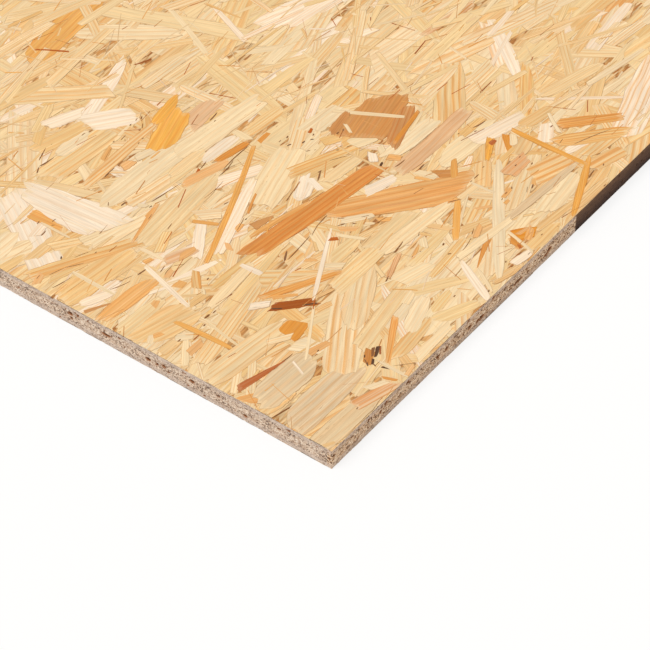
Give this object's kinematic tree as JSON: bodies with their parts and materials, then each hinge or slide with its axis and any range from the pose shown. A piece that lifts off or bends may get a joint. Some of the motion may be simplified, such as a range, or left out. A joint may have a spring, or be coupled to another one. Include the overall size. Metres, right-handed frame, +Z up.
{
  "type": "osb panel",
  "caption": "Flat rectangular sheet of oriented strand board with strand-covered faces and square sawn edges, used for sheathing, decking and flooring.",
  "frame": {"origin": "middle of the underside, on the surface that the sheet lies on", "axes": "+X along the sheet's length, the way that most of the face strands run, +Y across its width, +Z up through its thickness"},
  "size_m": [2.44, 1.22, 0.018],
  "materials": {
    "strand_board": "pressed softwood strands, unsanded, with raw sawn edges"
  },
  "bodies": {
    "root": {"osb_panel": "strand_board"}
  },
  "joints": []
}
